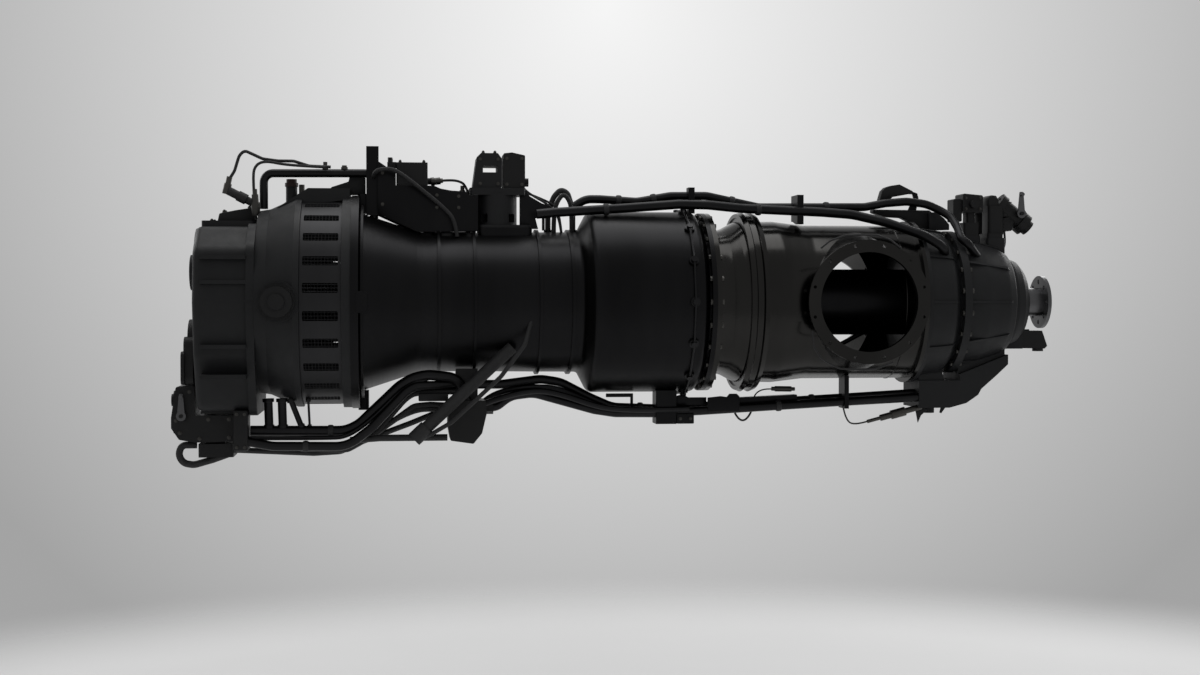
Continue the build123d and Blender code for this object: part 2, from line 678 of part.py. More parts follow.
with BuildPart() as main_bearings:
    add(ring(44, 58, 23.1, 23.8))
    add(ring(520, 536, SHAFT_RADIUS + 0.1, 36))
    add(ring(728.5, 739.5, FREE_SHAFT_RADIUS + 0.1, 29.8))
    add(ring(1160.5, 1171.5, FREE_SHAFT_RADIUS + 0.1, 29.8))
    add(ring(1393, 1409, PROP_SHAFT + 0.1, 61.8))
    add(ring(DIAPHRAGM - 24, DIAPHRAGM - 8, 14.1, 18.8))


# Accessory gears on their own shafts.
with BuildPart() as starter_gear:
    turn = meshed_turn(STARTER_TEETH, PINION_TEETH, 90)
    add(gear(STARTER_TEETH, ACCESSORY_MODULE, turn, ACCESSORY_STAGE, (0, starter_height)))
    add(rod((-333, 0, starter_height), (DIAPHRAGM - 3, 0, starter_height), 12))

with BuildPart() as fuel_pump_gear:
    turn = meshed_turn(PUMP_TEETH, PINION_TEETH, PUMP_DIRECTION)
    add(gear(PUMP_TEETH, ACCESSORY_MODULE, turn, ACCESSORY_STAGE, (pump_y, pump_z)))
    add(rod((-336, pump_y, pump_z), (DIAPHRAGM - 3, pump_y, pump_z), 12))


# Oil sump under the reduction gearbox.
sump_corners = ((1212, SUMP_FACE), (1212, -232), (1281, -232), (1319, -222), (1346, -204), (1353, -191),
                (1388, -161), (1414, -137), (1414, -115.8), (1304, -158.3), (1304, SUMP_FACE))
with BuildPart() as oil_sump:
    add(side_slab(sump_corners, 57, -57))
    add(rod((1250, 0, -232), (1250, 0, -246), 14))


# Propeller governor: a column on the front case, a tilted valve body and its speed lever.
governor_pivot = (1452, -30, 196)
with BuildPart() as propeller_governor:
    add(block((1376, -30, GOVERNOR_PAD), (1412, 30, 152), 6))
    add(block((1380, -24, 150), (1416, 24, 214), 8))
    add(stepped((1408, 0, 222), (1480, 0, 164), (0, 0.16, 24), (0.16, 0.7, 20), (0.7, 0.88, 25), (0.88, 1, 17)))
    add(stepped((1424, 0, 190), (1424, 0, 231), (0, 0.8, 17), (0.8, 1, 12)))
    add(rod((1452, 0, 196), (1452, -24, 196), 9))
    add(rod((1452, 0, 196), (1452, -40, 196), 4))

with BuildPart() as governor_lever:
    add(rod((1452, -29, 196), (1452, -35, 196), 10))
    add(side_slab(((1444, 196), (1448, 244), (1456, 244), (1460, 196)), -30, -34, 2))
    add(rod((1452, -30, 238), (1452, -42, 238), 4))
    add(rod((1452, -20, 196), (1452, -44, 196), 4.08), mode=Mode.SUBTRACT)

with BuildPart() as overspeed_governor:
    add(block((1324, -22, OVERSPEED_PAD), (1360, 22, 176), 6))
    add(block((1333, -16, 170), (1352, 16, 200), 5))
    add(rod((1318, 0, 214), (1324, 0, 214), 8))
    add(side_slab(((1320, 198), (1320, 240), (1366, 236), (1366, 198)), 26, -26, 4))
    add(side_slab(((1300, 178), (1300, 228), (1319.8, 228), (1319.8, 178)), 20, -20, 3))
    add(rod((1343, -26, 216), (1343, -40, 216), 9))

with BuildPart() as torque_transmitter:
    add(block((1376, 50, TRANSMITTER_PAD), (1410, 84, 160), 6))
    add(stepped((1393, 67, 160), (1393, 67, 238), (0, 0.5, 15), (0.5, 0.85, 20), (0.85, 1, 10)))

# Speed pickup and its arm, which reaches forward under the propeller flange.
with BuildPart() as speed_pickup_bracket:
    add(side_slab(((PICKUP_FACE, -64), (1508, -64), (1520, -98), (1514, -104), (PICKUP_FACE, -103)), 16, -16))
    add(stepped((1504, 0, -92), (1504, 0, -110), (0, 0.5, 9), (0.5, 1, 12)))
    add(rod((1478, 0, -66), (1478, 0, -61), 6))


# Fuel pump on the accessory gearbox, and the fuel control unit below and behind it.
with BuildPart() as fuel_pump:
    add(slab(((pump_y - 62, -172), (pump_y - 62, -72), (pump_y + 50, -72), (pump_y + 50, -172)), -358, PAD_FACE, 20))
    add(rod((-352, pump_y, pump_z), (PAD_FACE, pump_y, pump_z), 46))
    add(rod((-345, pump_y, pump_z), (-330, pump_y, pump_z), 14), mode=Mode.SUBTRACT)
    add(slab(((-100, -102), (-100, -170), (20, -170), (20, -102)), -363, -356, 12))

lever_pivot = (-366, -72, -236)
with BuildPart() as fuel_control_unit:
    add(side_slab(((-378, -176), (-388, -240), (-388, -262), (-372, -286), (-340, -292), (-256, -290),
                   (-256, -236), (-340, -236), (-341, -172)), 46, -58, 5))
    add(stepped((-380, -10, -206), (-392, -10, -206), (0, 0.6, 20), (0.6, 1, 13)))
    add(stepped((-384, -10, -262), (-391, -10, -262), (0, 0.6, 14), (0.6, 1, 8)))
    add(rod((-366, -56, -236), (-366, -64, -236), 11))
    add(rod((-366, -56, -236), (-366, -78, -236), 4))
    add(block((-334, -50, -324), (-262, 40, -296), 6))
    add(block((-322, -30, -298), (-280, 20, -288), 4))

with BuildPart() as power_lever:
    add(rod((-366, -66, -236), (-366, -73, -236), 10))
    add(side_slab(((-374, -236), (-370, -190), (-362, -190), (-358, -236)), -67, -72, 2))
    add(rod((-366, -66, -196), (-366, -80, -196), 4))
    add(rod((-366, -60, -236), (-366, -80, -236), 4.08), mode=Mode.SUBTRACT)


# Oil filter cover on the starboard side of the tank.
with BuildPart() as oil_filter:
    add(stepped((-160, FILTER_PAD, 0), (-160, -254, 0), (0, 0.3, 36), (0.3, 0.8, 31), (0.8, 1, 16)))
    for direction in (45, 135, 225, 315):
        y, z = polar(30, direction)
        add(rod((-160 + y, FILTER_PAD, z), (-160 + y, -238, z), 7))

with BuildPart() as oil_filler_cap:
    add(stepped((*filler, 246.2), (*filler, 262), (0, 0.5, 14), (0.5, 1, 11)))
    add(rod((*filler, 150), (*filler, 247), 2.5))


# Ignition exciter box on its bracket, above the cone.
with BuildPart() as ignition_exciter:
    add(block((77, -40, 246), (143, 50, 295), 4))
    add(block((88, -30, 170), (98, 40, 246), 2))
    add(block((124, -30, 150), (134, 40, 246), 2))
    add(rod((143, 0, 258), (158, 0, 258), 7))
    add(rod((64, -24, 295), (64, -24, 306), 5))
    add(block((58, -32, 284), (77, -14, 296), 2))
    add(generator_envelope, mode=Mode.SUBTRACT)


# Compressor bleed valve with its piston, and the actuator beside its head.
with BuildPart() as bleed_valve:
    add(block((252, -48, VALVE_PAD), (362, 48, 164), 12))
    add(rod((292, 0, VALVE_PAD), (292, 0, 232), 42))
    add(block((232, -40, 228), (350, 40, 243), 8))
    add(side_slab(((238, 243), (247, 308), (256, 317), (292, 317), (300, 306), (300, 243)), 34, -34, 3))
    add(side_slab(((260, 276), (260, 290), (291, 290), (291, 276)), 40, -40), mode=Mode.SUBTRACT)
    add(rod((292, 0, 166), (292, 0, 222), 30), mode=Mode.SUBTRACT)
    for direction in (0, 90, 180, 270):
        outlet = block((292, -9, 170), (340, 9, 188)).rotate(Axis((292, 0, 0), (0, 0, 1)), direction + 45)
        add(outlet, mode=Mode.SUBTRACT)

with BuildPart() as bleed_piston:
    add(rod((292, 0, 166.2), (292, 0, 196), 29.92))
    add(rod((292, 0, 176), (292, 0, 200), 24), mode=Mode.SUBTRACT)
    add(rod((292, 0, 170), (292, 0, 206), 5))

with BuildPart() as bleed_actuator:
    add(side_slab(((304, 244), (304, 317), (322, 319), (350, 313), (350, 244)), 32, -32, 3))
    add(rod((350, 10, 258), (360, 10, 258), 9))
    add(rod((350, -14, 258), (358, -14, 258), 7))


# Oil and breather tubes, air and fuel lines.
breather_route = ((-200, -15, 196), (-200, -15, 271), (30, -15, 273), (30, -15, 170))
scavenge_route = ((456, -25, 205), (480, -25, 221), (512, -25, 221), (592, -25, 216), (665, -25, 229),
                  (744, -25, 230), (859, -25, 206), (1096, -25, 208), (1144, -25, 217), (1192, -25, 221),
                  (1236, -25, 216), (1264, -32, 203), (1285, -52, 186), (1290, -78, 162), (1290, -104, 136),
                  (1302, -113, 126), (1330, -88, 100))
pressure_route = ((372, -66, 186), (412, -66, 190), (563, -66, 200), (676, -66, 209), (739, -66, 208),
                  (814, -66, 201), (991, -66, 194), (1058, -70, 189), (1127, -94, 171), (1200, -128, 142),
                  (1240, -132, 118), (1250, -112, 100))
with BuildPart() as breather_tube:
    add(tube(breather_route, 17.5, BREATHER_BEND))
    add(generator_envelope, mode=Mode.SUBTRACT)
    add(inlet_case.part, mode=Mode.SUBTRACT)

with BuildPart() as upper_oil_tubes:
    add(tube(scavenge_route, 18, 60))
    add(tube(pressure_route, 20, 90))
    add(rear_case_envelope, mode=Mode.SUBTRACT)
    add(front_case_envelope, mode=Mode.SUBTRACT)
    add(gearbox_rear_case.part, mode=Mode.SUBTRACT)

# Fuel heater under the casing, with the fittings of the oil tubes on its front.
with BuildPart() as fuel_heater:
    add(side_slab(((183, -207), (183, -261), (188, -290), (236, -297), (254, -275), (264, -233), (262, -206)), -20, -100, 4))
    add(hexagon((258, -50, -224), (280, -50, -224), 28))
    add(block((200, -78, -215), (246, -42, -140)))
    add(rod((150, 0, 0), (300, 0, 0), BARREL_RADIUS + 5 + RUNNING_GAP), mode=Mode.SUBTRACT)

# Under the engine: a long tube from the rear to the sump, one from the fuel heater to the sump,
# and one from the rear that turns down into the heater.
scavenge_return = ((-229, -106, -287), (-177, -106, -297), (-25, -106, -299), (24, -104, -262), (96, -96, -186),
                   (117, -90, -175), (240, -62, -174), (297, -46, -175), (383, -32, -165), (426, -24, -172),
                   (493, -20, -207), (539, -20, -227), (633, -20, -231), (732, -20, -227), (1021, -20, -212),
                   (1218, -20, -201))
heater_return = ((270, -50, -224), (288, -50, -222), (316, -48, -200), (366, -45, -194), (497, -45, -231),
                 (542, -45, -238), (629, -45, -239), (727, -45, -235), (1015, -45, -219), (1218, -45, -209))
heater_feed = ((-224, -80, -267), (-30, -80, -269), (-2, -80, -256), (82, -84, -176), (109, -84, -159),
               (142, -84, -152), (206, -80, -160), (222, -76, -208))
lower_routes = ((scavenge_return, 19), (heater_return, 19), (heater_feed, 22))
with BuildPart() as lower_oil_tubes:
    for route, diameter in lower_routes:
        add(tube(route, diameter, 70))
    add(oil_sump.part, mode=Mode.SUBTRACT)
    add(fuel_heater.part, mode=Mode.SUBTRACT)

air_routes = (
    (((128, -122, -282), (150, -128, -272), (190, -140, -248), (290, -156, -154), (340, -156, -88), (354, -140, -40)), 9),
    (((402, 6, HOSE_BOSS), (402, 6, 191), (415, 6, 228), (430, 6, 243), (445, 6, 236), (456, 6, 200), (456, 6, HOSE_BOSS)), 12),
)
with BuildPart() as air_lines:
    for route, diameter in air_routes:
        add(tube(route, diameter, 40))
    add(rod((121, -122, -276), (316, -122, -94), 13))
    add(rod((112, -122, -284.5), (138, -122, -260), 16))
    add(generator_envelope, mode=Mode.SUBTRACT)

fuel_routes = (
    (((-123, -60, -307), (-26, -60, -310), (26, -60, -281), (113, -60, -219), (147, -60, -216), (182, -60, -218)), 12),
    (((-270, -30, -310), (-97, -30, -319), (-41, -30, -316), (0, -30, -297), (42, -30, -281), (107, -30, -257), (176, -30, -229)), 12),
    (((-20, -84, -288), (42, -84, -284), (182, -84, -284)), 14),
    (((-340, -20, -300), (-371, -20, -300), (-378, -20, -320), (-368, -20, -338), (-346, -20, -342), (-307, -20, -331), (-276, -20, -320)), 14.6),
)
with BuildPart() as fuel_lines:
    for route, diameter in fuel_routes:
        add(tube(route, diameter, 30))
    add(fuel_control_unit.part, mode=Mode.SUBTRACT)
    add(fuel_heater.part, mode=Mode.SUBTRACT)


# Clamps that hold the tubes to each other and to the casings, and the upright support plate.
with BuildPart() as support_brackets:
    add(block((702, -42, 180), (716, -14, 247), 2))
    add(block((935, -72, 168), (949, -12, 231), 2))
    add(block((629, -60, -262), (674, -5, -190), 3))
    add(block((1044, -60, -232), (1054, -8, -160), 2))
    add(block((14, -32, 176), (40, -26, 329)))
    for route, diameter in ((scavenge_route, 18.4), (pressure_route, 20.4)):
        add(tube(route, diameter, 60 if diameter < 19 else 90), mode=Mode.SUBTRACT)
    for route, diameter in lower_routes[:2]:
        add(tube(route, diameter + 0.4, 70), mode=Mode.SUBTRACT)
        add(rod((500, 0, 0), (719, 0, 0), COMBUSTOR_RADIUS + RUNNING_GAP), mode=Mode.SUBTRACT)
    add(rod((900, 0, 0), (960, 0, 0), 176 + RUNNING_GAP), mode=Mode.SUBTRACT)
    add(rod((1000, 0, 0), (1100, 0, 0), DUCT_RADIUS + RUNNING_GAP), mode=Mode.SUBTRACT)
    add(rod((10, 0, 0), (60, 0, 0), 186), mode=Mode.SUBTRACT)


# Electrical leads: one to the plug on the gearbox, and the temperature wires round a port.
with BuildPart() as electrical_leads:
    add(stepped((-219, -30, 206), (-272, -30, 233), (0, 0.3, 8), (0.3, 0.62, 11), (0.62, 1, 9)))
    add(tube(((-276, -30, 226), (-272, -30, 253), (-259, -30, 274), (-249, -30, 307), (-238, -30, 317),
              (-201, -30, 300), (-169, -30, 296), (-137, -30, 296), (-105, -30, 286), (-60, -34, 284)), 6.5, 26))
    add(tube(((953, -204, 112), (973, -203, 128), (1006, -203, 139), (1039, -203, 140), (1073, -203, 140),
              (1102, -203, 130), (1125, -203, 112)), 4, 30))
    add(tube(((936, -200, -60), (940, -200, -95), (955, -200, -118), (993, -202, -139), (1032, -203, -141),
              (1071, -203, -140), (1108, -203, -126)), 4, 30))

with BuildPart() as flange_bolts:
    add(around(flange_bolt(TURBINE_FLANGE - 10, TURBINE_FLANGE + 10, 185.5, 3), 24))
    add(around(flange_bolt(GEARBOX_SPLIT - 8, GEARBOX_SPLIT + 8, 150, 3), 20, 9))


pieces = {
    "accessory_gearbox_housing": accessory_gearbox_housing,
    "gearbox_diaphragm": gearbox_diaphragm,
    "inlet_case": inlet_case,
    "inlet_screen": inlet_screen,
    "gas_generator_case": gas_generator_case,
    "compressor_stator": compressor_stator,
    "compressor_rotor": compressor_rotor,
    "gas_generator_shaft": gas_generator_shaft,
    "diffuser": diffuser,
    "combustion_liner": combustion_liner,
    "turbine_vane_ring": turbine_vane_ring,
    "compressor_turbine": compressor_turbine,
    "power_turbine_stator": power_turbine_stator,
    "power_turbine": power_turbine,
    "fuel_manifold": fuel_manifold,
    "exhaust_duct": exhaust_duct,
    "duct_clamp_ring": duct_clamp_ring,
    "shaft_housing": shaft_housing,
    "gearbox_rear_case": gearbox_rear_case,
    "gearbox_front_case": gearbox_front_case,
    "first_stage_ring_gear": first_stage_ring_gear,
    "second_stage_ring_gear": second_stage_ring_gear,
    "power_turbine_shaft": power_turbine_shaft,
    "first_stage_carrier": first_stage_carrier,
    "propeller_shaft": propeller_shaft,
    "thrust_bearing_cover": thrust_bearing_cover,
    "main_bearings": main_bearings,
    "starter_gear": starter_gear,
    "fuel_pump_gear": fuel_pump_gear,
    "oil_sump": oil_sump,
    "propeller_governor": propeller_governor,
    "governor_lever": governor_lever,
    "overspeed_governor": overspeed_governor,
    "torque_transmitter": torque_transmitter,
    "speed_pickup_bracket": speed_pickup_bracket,
    "fuel_pump": fuel_pump,
    "fuel_control_unit": fuel_control_unit,
    "power_lever": power_lever,
    "oil_filter": oil_filter,
    "oil_filler_cap": oil_filler_cap,
    "ignition_exciter": ignition_exciter,
    "bleed_valve": bleed_valve,
    "bleed_piston": bleed_piston,
    "bleed_actuator": bleed_actuator,
    "breather_tube": breather_tube,
    "upper_oil_tubes": upper_oil_tubes,
    "lower_oil_tubes": lower_oil_tubes,
    "air_lines": air_lines,
    "fuel_lines": fuel_lines,
    "fuel_heater": fuel_heater,
    "support_brackets": support_brackets,
    "electrical_leads": electrical_leads,
    "flange_bolts": flange_bolts,
}
for number, planet in enumerate(first_planets, 1):
    pieces[f"first_stage_planet_{number}"] = planet
for number, planet in enumerate(second_planets, 1):
    pieces[f"second_stage_planet_{number}"] = planet

os.makedirs("parts", exist_ok=True)
for name, piece in pieces.items():
    piece.part.label = name
    export_step(piece.part, f"parts/{name}.step")
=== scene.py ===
# %% [markdown]
# A small turboprop engine hangs in a pale studio, seen from its starboard side against the light.
# Its castings, cases, shafts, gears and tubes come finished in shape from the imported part.
# Here they get their finishes, and the small things that a mechanic's eye looks for are added:
# the woven inlet screen, leads and hoses, brackets, fasteners, fittings, clamps and weld beads.

import json
from math import cos, pi, radians, sin

import bpy
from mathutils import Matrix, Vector


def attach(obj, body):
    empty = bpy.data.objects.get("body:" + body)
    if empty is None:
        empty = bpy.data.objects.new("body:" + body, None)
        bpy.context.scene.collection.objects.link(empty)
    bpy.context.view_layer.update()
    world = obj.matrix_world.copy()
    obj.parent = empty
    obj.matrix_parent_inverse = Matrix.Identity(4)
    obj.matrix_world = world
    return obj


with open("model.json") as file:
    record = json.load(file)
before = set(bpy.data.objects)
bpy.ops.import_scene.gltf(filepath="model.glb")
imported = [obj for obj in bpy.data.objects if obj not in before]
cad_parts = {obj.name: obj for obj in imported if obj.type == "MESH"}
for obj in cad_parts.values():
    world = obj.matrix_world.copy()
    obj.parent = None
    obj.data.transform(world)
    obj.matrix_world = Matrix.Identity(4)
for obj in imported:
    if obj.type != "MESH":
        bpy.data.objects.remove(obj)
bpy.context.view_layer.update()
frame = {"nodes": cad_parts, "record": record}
nodes = frame["nodes"]

# %% [markdown]
# Every finish is a small network of shader nodes. It could be drawn by hand in the node editor, or
# written as one call for each node and link. Both are long, so two small classes keep it short.
# Value wraps one socket, and + and * on it add Math nodes, so shader maths reads as a formula.

# %% Shader arithmetic
class Value:
    """A number that varies over a surface. Its arithmetic adds Math nodes."""

    def __init__(self, network, socket):
        self.network = network
        self.socket = socket

    def math(self, operation, other):
        return self.network.node("ShaderNodeMath", {"operation": operation}, {0: self, 1: other})

    def __add__(self, other):
        return self.math("ADD", other)

    def __mul__(self, other):
        return self.math("MULTIPLY", other)

    __radd__ = __add__
    __rmul__ = __mul__

    def greater(self, other):
        """The greater of two values, point by point."""
        return self.math("MAXIMUM", other)


print("arithmetic ready")

# %% [markdown]
# Network adds any other node: its type, its settings, then the values or links of its sockets.
# The world of the studio uses it as well as the finishes do.

# %% Node networks
class Network:
    """A node tree under construction."""

    def __init__(self, tree):
        self.tree = tree

    def put(self, socket, value):
        """Links a Value to a socket, or sets a plain value there."""
        if isinstance(value, Value):
            self.tree.links.new(value.socket, socket)
        else:
            socket.default_value = value

    def node(self, kind, settings=(), sockets=(), output=0):
        """Adds a node and gives back one of its outputs as a Value."""
        made = self.tree.nodes.new(kind)
        for key, value in dict(settings).items():
            setattr(made, key, value)
        for key, value in dict(sockets).items():
            self.put(made.inputs[key], value)
        return Value(self, made.outputs[output])


print("networks ready")

# %% [markdown]
# A Finish is a new material. Its patterns read Object coordinates, which stay with the piece when
# it turns or slides, and every piece has its origin at the engine's own origin, so a pattern runs
# on from one casting to the next. Its colours go through a Mix node, since a Math node has no hue.

# %% Finishes
class Finish(Network):
    """A material under construction, with its Principled shader as .shader."""

    def __init__(self, name):
        self.material = bpy.data.materials.new(name)
        self.material.use_nodes = True
        super().__init__(self.material.node_tree)
        self.shader = self.tree.nodes["Principled BSDF"]

    def feed(self, **values):
        """Sets or links sockets of the shader, named with underscores for spaces."""
        for name, value in values.items():
            self.put(self.shader.inputs[name.replace("_", " ")], value)

    def place(self):
        return self.node("ShaderNodeTexCoord", output="Object")

    def stretched(self, scale):
        return self.node("ShaderNodeMapping", {}, {"Vector": self.place(), "Scale": scale})

    def noise(self, scale, detail=3.0, where=None):
        return self.node("ShaderNodeTexNoise", {}, {
            "Vector": where or self.place(), "Scale": scale, "Detail": detail, "Roughness": 0.55})

    def blend(self, share, one, other):
        """A mix of two colours. In a Mix node they are sockets 6 and 7, and output 2."""
        return self.node("ShaderNodeMix", {"data_type": "RGBA"}, {
            0: share, 6: (*one, 1), 7: (*other, 1)}, output=2)

    def relief(self, height, strength, distance):
        self.feed(Normal=self.node("ShaderNodeBump", {}, {
            "Height": height, "Strength": strength, "Distance": distance}, output="Normal"))


print("finishes ready")

# %% [markdown]
# The castings are sand-cast magnesium and aluminium under a dark grey-black coat. Up close such a
# coat is not flat: the sand leaves a fine grain, the coat is a little thicker in some places, and
# oil film makes patches shinier. Four noises of different sizes give that.

# %% Cast and painted finishes
def cast_coat(name, thin, thick, shine=0.42, grain=900.0):
    """A dark coat over a cast surface, thinner and thicker in patches."""
    coat = Finish(name)
    patches = coat.noise(14.0, 4.0)
    sand = coat.noise(grain, 2.0)
    film = coat.noise(38.0, 2.0)
    coat.feed(Base_Color=coat.blend(patches, thin, thick), Metallic=0.0,
              Roughness=shine + 0.22 * film, Specular_IOR_Level=0.25)
    coat.relief(sand + 0.6 * coat.noise(grain * 0.3, 2.0), 0.35, 0.0006)
    return coat.material


casting = cast_coat("cast_coat", (0.013, 0.0135, 0.0145), (0.006, 0.0063, 0.007))
accessory = cast_coat("accessory_black", (0.010, 0.010, 0.0105), (0.005, 0.005, 0.0053),
                      0.36, 1400.0)
print("coats", casting.name, accessory.name)

# %% [markdown]
# The hot cases are rolled nickel steel, and shafts and flanges are turned. Both leave fine lines
# round the shaft line, so the noise that carries them is squeezed along X. Heat darkens the metal
# in slow bands. One function makes them all, and only its colours, shine and line width differ.

# %% Rolled and turned metals
def turned_metal(name, bright, dull, rough=0.30, lines=420.0, relief=0.12):
    """Bare metal with fine lines round the shaft line and slow heat bands along it."""
    metal = Finish(name)
    lathe = metal.noise(1.0, 2.0, metal.stretched((lines, 3.0, 3.0)))
    heat = metal.noise(1.0, 3.0, metal.stretched((9.0, 2.5, 2.5)))
    metal.feed(Base_Color=metal.blend(heat, dull, bright), Metallic=1.0,
               Roughness=rough + 0.10 * lathe + 0.06 * heat)
    metal.relief(lathe, relief, 0.0004)
    return metal.material


case_sheet = turned_metal("rolled_case_steel", (0.022, 0.022, 0.023), (0.010, 0.010, 0.0105))
duct_sheet = turned_metal("smooth_duct_alloy", (0.046, 0.045, 0.043), (0.022, 0.0215, 0.021),
                          0.12, 160.0, 0.03)
machined = turned_metal("machined_steel", (0.15, 0.15, 0.155), (0.09, 0.09, 0.093), 0.24, 900.0)
gear_steel = turned_metal("ground_gear_steel", (0.34, 0.34, 0.35), (0.25, 0.25, 0.26), 0.28, 300.0)
print("case metals", case_sheet.name, duct_sheet.name, machined.name, gear_steel.name)

# %% [markdown]
# The blades, the tubes, the bolts and the screen wire are other alloys of the same kind. Blades
# are the lightest, since they are bare and polished. Tubes are dull from heat and oil.

# %% Blade, tube and bolt metals
turbine = turned_metal("turbine_alloy", (0.30, 0.27, 0.24), (0.15, 0.14, 0.14), 0.34, 200.0)
compressor = turned_metal("compressor_alloy", (0.46, 0.47, 0.49), (0.32, 0.33, 0.35), 0.26, 300.0)
tube_steel = turned_metal("dull_tube_steel", (0.034, 0.034, 0.035), (0.016, 0.016, 0.017),
                          0.30, 90.0)
bolt_steel = turned_metal("plated_bolt_steel", (0.10, 0.096, 0.088), (0.045, 0.045, 0.045),
                          0.36, 700.0)
wire_steel = turned_metal("screen_wire", (0.05, 0.05, 0.052), (0.025, 0.025, 0.026), 0.38, 60.0)
print("small metals", turbine.name, compressor.name, tube_steel.name, bolt_steel.name)

# %% [markdown]
# Hoses have a woven cover. A weave is two sets of threads that cross, so two waves at an angle
# are multiplied, and their product raises the crossings. The oil filler cap has a dark red coat.

# %% Hose and lead covers
def woven_cover(name, colour, worn, pitch=260.0):
    """A black woven cover with threads a millimetre or two apart."""
    cover = Finish(name)
    along, across = (
        cover.node("ShaderNodeTexWave", {"bands_direction": direction}, {
            "Vector": cover.place(), "Scale": pitch, "Distortion": 0.6})
        for direction in ("X", "DIAGONAL"))
    wear = cover.noise(60.0)
    cover.feed(Base_Color=cover.blend(wear, colour, worn), Metallic=0.0,
               Roughness=0.55 + 0.2 * wear)
    cover.relief(along * across, 0.5, 0.0006)
    return cover.material


hose = woven_cover("hose_cover", (0.006, 0.006, 0.0065), (0.016, 0.016, 0.017))
cap_red = cast_coat("filler_cap_coat", (0.030, 0.012, 0.010), (0.016, 0.008, 0.007), 0.4, 1200.0)
print("covers", hose.name, cap_red.name)

# %% [markdown]
# Each node of the engine now takes its finish. The record gives every node a slot, and a slot is a
# finish, so one table is enough. The small pieces that follow use the same table.

# %% Finish the nodes
finish_of_slot = {
    "casting": casting, "accessory": accessory, "sheet_steel": case_sheet, "duct_alloy": duct_sheet,
    "machined_steel": machined, "gear_steel": gear_steel, "turbine_alloy": turbine,
    "compressor_alloy": compressor, "tube_steel": tube_steel, "bolt_steel": bolt_steel,
    "screen_wire": wire_steel, "hose": hose, "cap_paint": cap_red,
}
for entry in frame["record"]["subparts"]:
    mesh = nodes[entry["node"]].data
    mesh.materials.clear()
    mesh.materials.append(finish_of_slot[entry["material_slot"]])

# %% [markdown]
# What follows are the small things bolted to the castings. Sizes are in millimetres, as on a
# drawing. Blender's operators act on all that is selected, so each step first selects its piece
# alone. Real edges are never sharp, and a small bevel catches the light as they do.

# %% Selecting and settling a piece
MM = 0.001
SHARPEST_SMOOTH = radians(35)
BEVELLED_ABOVE = radians(40)


def only(*pieces):
    """Selects these pieces and nothing else. The first is the active one."""
    bpy.ops.object.select_all(action="DESELECT")
    for piece in pieces:
        piece.select_set(True)
    bpy.context.view_layer.objects.active = pieces[0]


def settle(piece, name, slot, edge=0.0):
    """Softens the edges of a piece and gives it its name and the finish of its slot, on the engine.
    """
    only(piece)
    if edge:
        bpy.ops.object.modifier_add(type="BEVEL")
        rounding = piece.modifiers[-1]
        rounding.width = edge * MM
        rounding.segments = 2
        rounding.angle_limit = BEVELLED_ABOVE
        bpy.ops.object.modifier_apply(modifier=rounding.name)
    piece.name = name
    piece.data.materials.clear()
    piece.data.materials.append(finish_of_slot[slot])
    bpy.ops.object.shade_smooth_by_angle(angle=SHARPEST_SMOOTH)
    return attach(piece, "engine")


print("settling ready")

# %% [markdown]
# Most brackets are plates cut to an outline. A filled circle with one corner for each corner of
# the outline is laid on it, and extruded across the engine to its thickness.

# %% Plates
def plate(name, outline, near, far, slot, edge=0.8):
    """A piece cut to an outline (x, z) in the side view and thickened along Y."""
    bpy.ops.object.select_all(action="DESELECT")
    bpy.ops.mesh.primitive_circle_add(vertices=len(outline), fill_type="NGON")
    piece = bpy.context.object
    for vertex, (x, z) in zip(piece.data.vertices, outline):
        vertex.co = (x * MM, near * MM, z * MM)
    bpy.ops.object.mode_set(mode="EDIT")
    bpy.ops.mesh.select_all(action="SELECT")
    bpy.ops.mesh.extrude_region_move(TRANSFORM_OT_translate={"value": (0, (far - near) * MM, 0)})
    bpy.ops.mesh.select_all(action="SELECT")
    bpy.ops.mesh.normals_make_consistent(inside=False)
    bpy.ops.object.mode_set(mode="OBJECT")
    return settle(piece, name, slot, edge)


print("plates ready")

# %% [markdown]
# A bent tube or a lead is a line with a round section. A curve with a bevel depth is the natural
# tool, and a NURBS line rounds the bends between its points. It ends as a mesh.

# %% Pipes
def pipe(name, route, diameter, slot):
    """A tube or lead that follows a smooth line near its corner points."""
    line = bpy.data.curves.new(name, "CURVE")
    line.dimensions = "3D"
    line.bevel_depth = diameter / 2 * MM
    line.bevel_resolution = 3
    line.resolution_u = 5
    line.use_fill_caps = True
    spline = line.splines.new("NURBS")
    spline.points.add(len(route) - 1)
    for point, place in zip(spline.points, route):
        point.co = (*(c * MM for c in place), 1)
    spline.order_u = 3
    spline.use_endpoint_u = True
    drawn = bpy.data.objects.new(name, line)
    bpy.context.collection.objects.link(drawn)
    only(drawn)
    bpy.ops.object.convert(target="MESH")
    return settle(bpy.context.object, name, slot)


print("pipes ready")

# %% [markdown]
# Fittings come off a lathe. A disc is extruded in stages, and a stage of another radius starts
# with a resized ring, which leaves a shoulder. Then the piece is turned to its direction.

